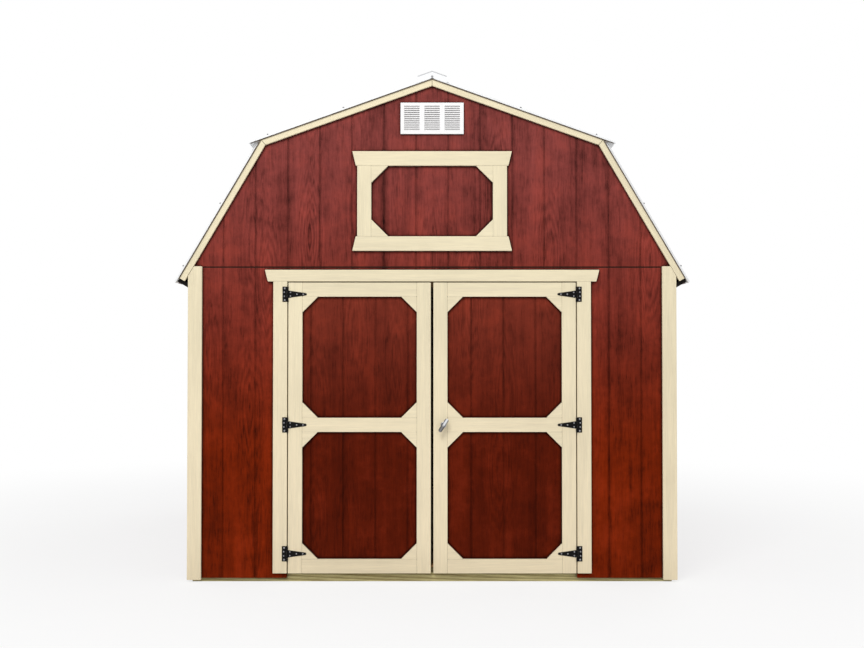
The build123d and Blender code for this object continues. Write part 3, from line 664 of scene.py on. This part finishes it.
# Hex-head roofing screw
WASHER_R = 0.0075
WASHER_T = 0.002
WASHER_RIM = 0.0016
HEX_R = 0.0048
HEX_TALL = 0.006
HEX_FOOT = 0.0015
HEX_RIM = 0.0010
TOP_RISE = 0.0006


def roof_screw():
    """A hex-head roofing screw on its sealing washer, its axis on +Z."""
    disc = {"vertices": 12, "radius": WASHER_R, "depth": WASHER_T}
    screw = begin(bpy.ops.mesh.primitive_cylinder_add, "roof_screw", **disc)
    bpy.ops.transform.translate(value=(0, 0, WASHER_T / 2))
    bpy.ops.object.transform_apply(location=True, rotation=True, scale=True)
    pick_faces(screw, faces_up)
    step_up(WASHER_RIM, TOP_RISE)
    leave_edit(screw)
    prism = {"vertices": 6, "radius": HEX_R, "depth": HEX_TALL}
    head = begin(bpy.ops.mesh.primitive_cylinder_add, "hex_head", **prism)
    bpy.ops.transform.translate(value=(0, 0, HEX_FOOT + HEX_TALL / 2))
    bpy.ops.object.transform_apply(location=True, rotation=True, scale=True)
    pick_faces(head, faces_up)
    step_up(HEX_RIM, TOP_RISE)
    leave_edit(head)
    screw.select_set(True)
    bpy.context.view_layer.objects.active = screw
    bpy.ops.object.join()
    return screw


def set_out(pattern, name, places, finish, body):
    """Copies of a finished piece at each place, joined into one that rides on a body."""
    copies = []
    for place in places:
        copy = pattern.copy()
        copy.data = pattern.data.copy()
        copy.matrix_world = place
        bpy.context.collection.objects.link(copy)
        copies.append(copy)
    bpy.ops.object.select_all(action="DESELECT")
    for copy in copies:
        copy.select_set(True)
    bpy.context.view_layer.objects.active = copies[0]
    bpy.ops.object.join()
    joined = bpy.context.active_object
    bpy.ops.object.transform_apply(location=True, rotation=True, scale=True)
    joined.name = name
    joined.data.name = name
    joined.data.materials.clear()
    joined.data.materials.append(finish)
    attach(joined, body)
    return joined


def standing_out(place, normal, spin=0.0):
    """A matrix that stands a +Z piece on a surface, turned about its own axis."""
    turn = Vector(normal).to_track_quat("Z", "X").to_matrix().to_4x4()
    return Matrix.Translation(place) @ turn @ Matrix.Rotation(spin, 4, "Z")


# Screws in the strap hinges: offsets from the pin outward and up, and whether the screw is a large one
LEAF_SCREWS = ((0.019, 0.037, True), (0.022, 0.013, False), (0.022, -0.013, False), (0.019, -0.037, True))
STRAP_SCREWS = ((-0.017, 0.012, False), (-0.017, -0.012, False), (-0.058, 0.0, False), (-0.098, 0.0, False))
LARGE_HEAD = 0.0058
SMALL_HEAD = 0.0046

# Turn of the recesses, so that they point all ways: radians from hinge to hinge, and per metre up and out
HINGE_TURN = 0.7
UP_TURN = 40.0
OUT_TURN = 25.0
hinge_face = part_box("door_casings")[0].y - HINGE_PLATE
small_screw = cross_screw("small_screw", SMALL_HEAD)
large_screw = cross_screw("large_screw", LARGE_HEAD)


def hinge_places(side, offsets, large):
    """Places of the screws of one kind on the three hinges of one side, -1 left or 1 right."""
    places = []
    for count, height in enumerate(HINGE_HEIGHTS):
        for out, up, is_large in offsets:
            if is_large == large:
                head = LARGE_HEAD if large else SMALL_HEAD
                place = (side * (PIN_X + out), hinge_face - head * RIM_TALL / 2, height + up)
                spin = count * HINGE_TURN + up * UP_TURN + out * OUT_TURN
                places.append(standing_out(place, (0, -1, 0), spin))
    return places


both_sides = [(-1, "left"), (1, "right")]
leaf_small = [place for side, _ in both_sides for place in hinge_places(side, LEAF_SCREWS, False)]
leaf_large = [place for side, _ in both_sides for place in hinge_places(side, LEAF_SCREWS, True)]
set_out(small_screw, "hinge_leaf_small_screws", leaf_small, ZINC, "barn")
set_out(large_screw, "hinge_leaf_large_screws", leaf_large, ZINC, "barn")
for side, word in both_sides:
    strap_places = hinge_places(side, STRAP_SCREWS, False)
    set_out(small_screw, f"{word}_strap_screws", strap_places, ZINC, f"{word}_door")

# Roofing screws: rows in the flats beside the ribs, on the end ribs, on the ridge cap and on its ends
UPPER_ROWS = (0.557, 1.040)  # x of the rows on the upper slopes
LOWER_ROWS = (1.983, 2.381)  # z of the rows on the lower slopes
BESIDE_RIB = 0.045
CAP_HALF = 0.068
END_SCREW_Z = 3.191
ROOF_TURN = 0.9  # radians from screw to screw
cap_low, cap_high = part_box("ridge_cap")
rib_places = [(index - (RIB_COUNT - 1) / 2) * RIB_PITCH for index in range(RIB_COUNT)]
flat_places = [y + BESIDE_RIB for y in rib_places[:-1]]
end_ribs = (rib_places[0], rib_places[-1])
upper_out = Vector((math.sin(UPPER_PITCH), 0, math.cos(UPPER_PITCH)))
lower_out = Vector((math.sin(LOWER_PITCH), 0, math.cos(LOWER_PITCH)))


def upper_spot(x, out):
    """A point of the upper slope at x, raised from the roof deck."""
    return Vector((x, 0, RIDGE_Z - x * math.tan(UPPER_PITCH))) + upper_out * out


def roof_screw_places():
    """Every roofing screw's place on both sides of the ridge."""
    rows = []
    for x in UPPER_ROWS:
        rows.append((upper_spot(x, SHEET), upper_out, flat_places))
        rows.append((upper_spot(x, RIB_CROWN), upper_out, end_ribs))
    for z in LOWER_ROWS:
        foot = Vector((BREAK_X + (BREAK_Z - z) / math.tan(LOWER_PITCH), 0, z))
        rows.append((foot + lower_out * SHEET, lower_out, flat_places))
        rows.append((foot + lower_out * RIB_CROWN, lower_out, end_ribs))
    rows.append((upper_spot(CAP_HALF, CAP_RISE), upper_out, rib_places[::2]))
    places = []
    for spot, out, row in rows:
        for side in (-1, 1):
            for count, y in enumerate(row):
                normal = (side * out.x, 0, out.z)
                places.append(standing_out((side * spot.x, y, spot.z), normal, count * ROOF_TURN + spot.x))
    return places


hex_screw = roof_screw()
set_out(hex_screw, "roof_screws", roof_screw_places(), ROOF_ZINC, "barn")
# the cap's end screws take the paler finish, painted light against the shade at the cap's ends
cap_ends = [((0, cap_low.y, END_SCREW_Z), (0, -1, 0)), ((0, cap_high.y, END_SCREW_Z), (0, 1, 0))]
cap_end_places = [standing_out(place, normal) for place, normal in cap_ends]
set_out(hex_screw, "cap_end_screws", cap_end_places, CAP_SCREW_PAINTED_LIGHT, "barn")
for pattern in (small_screw, large_screw, hex_screw):
    bpy.data.objects.remove(pattern)

# Studio: pale floor that turns white away from the barn, white surroundings, soft lamps
FLOOR_SIZE = 160.0
FLOOR_GLOW = 0.74
SHADOW_NEAR = 2.6
SHADOW_FAR = 7.0
WHITE = (1.0, 1.0, 1.0, 1.0)
FLOOR_DULL = tint(243, 243, 243)
FLOOR_PALE = tint(247, 247, 247)
floor = begin(bpy.ops.mesh.primitive_plane_add, "floor", size=FLOOR_SIZE)
floor_paint = Paint("floor_pale", specular=0.0)
speck = floor_paint.noise(floor_paint.place, detail=2.0, scale=3.0)
floor_paint.set(Base_Color=floor_paint.mix(speck, FLOOR_DULL, FLOOR_PALE), Roughness=0.9)
length = {"operation": "LENGTH"}
distance = floor_paint.node("ShaderNodeVectorMath", length, {0: floor_paint.place}, output="Value")
clear = floor_paint.between(distance, SHADOW_NEAR, SHADOW_FAR)
away = (FLOOR_GLOW + clear * (1.0 - FLOOR_GLOW)) * floor_paint.seen_ray()
glow = floor_paint.node("ShaderNodeEmission", inputs={"Color": WHITE, "Strength": 1.0})
lit = Tone(floor_paint, floor_paint.shader.outputs[0])
blended = floor_paint.node("ShaderNodeMixShader", inputs={0: away, 1: lit, 2: glow})
floor_paint.feed(floor_paint.tree.nodes["Material Output"].inputs["Surface"], blended)
floor.data.materials.append(floor_paint.material)

WORLD_LIGHT = 0.58
world = bpy.data.worlds.new("studio")
world.use_nodes = True
bpy.context.scene.world = world
sky = Graph(world.node_tree)
backdrop = sky.tree.nodes["Background"]
sky.feed(backdrop.inputs["Color"], WHITE)
sky.feed(backdrop.inputs["Strength"], WORLD_LIGHT + sky.seen_ray() * (1.0 - WORLD_LIGHT))


def soft_lamp(name, place, target, size, power):
    """A large square lamp that looks at a target."""
    data = bpy.data.lights.new(name, "AREA")
    data.shape = "SQUARE"
    data.size = size
    data.energy = power
    lamp = bpy.data.objects.new(name, data)
    lamp.location = place
    lamp.rotation_euler = (Vector(target) - Vector(place)).to_track_quat("-Z", "Y").to_euler()
    bpy.context.collection.objects.link(lamp)


soft_lamp("key_lamp", place=(-2.0, -8.5, 8.0), target=(0, -1.8, 1.3), size=3.5, power=400)
soft_lamp("back_lamp", place=(5.0, 9.0, 8.0), target=(0, 0, 1.5), size=6.0, power=300)

camera_data = bpy.data.cameras.new("photo_camera")
camera_data.sensor_width = SENSOR
camera_data.lens = FOCAL_PIXELS / PHOTO_WIDTH * SENSOR
camera = bpy.data.objects.new("photo_camera", camera_data)
camera.location = CAMERA_PLACE
camera.rotation_euler = (math.pi / 2 + CAMERA_TILT, 0, 0)
bpy.context.collection.objects.link(camera)
bpy.context.scene.camera = camera
bpy.context.scene.view_settings.view_transform = "Standard"
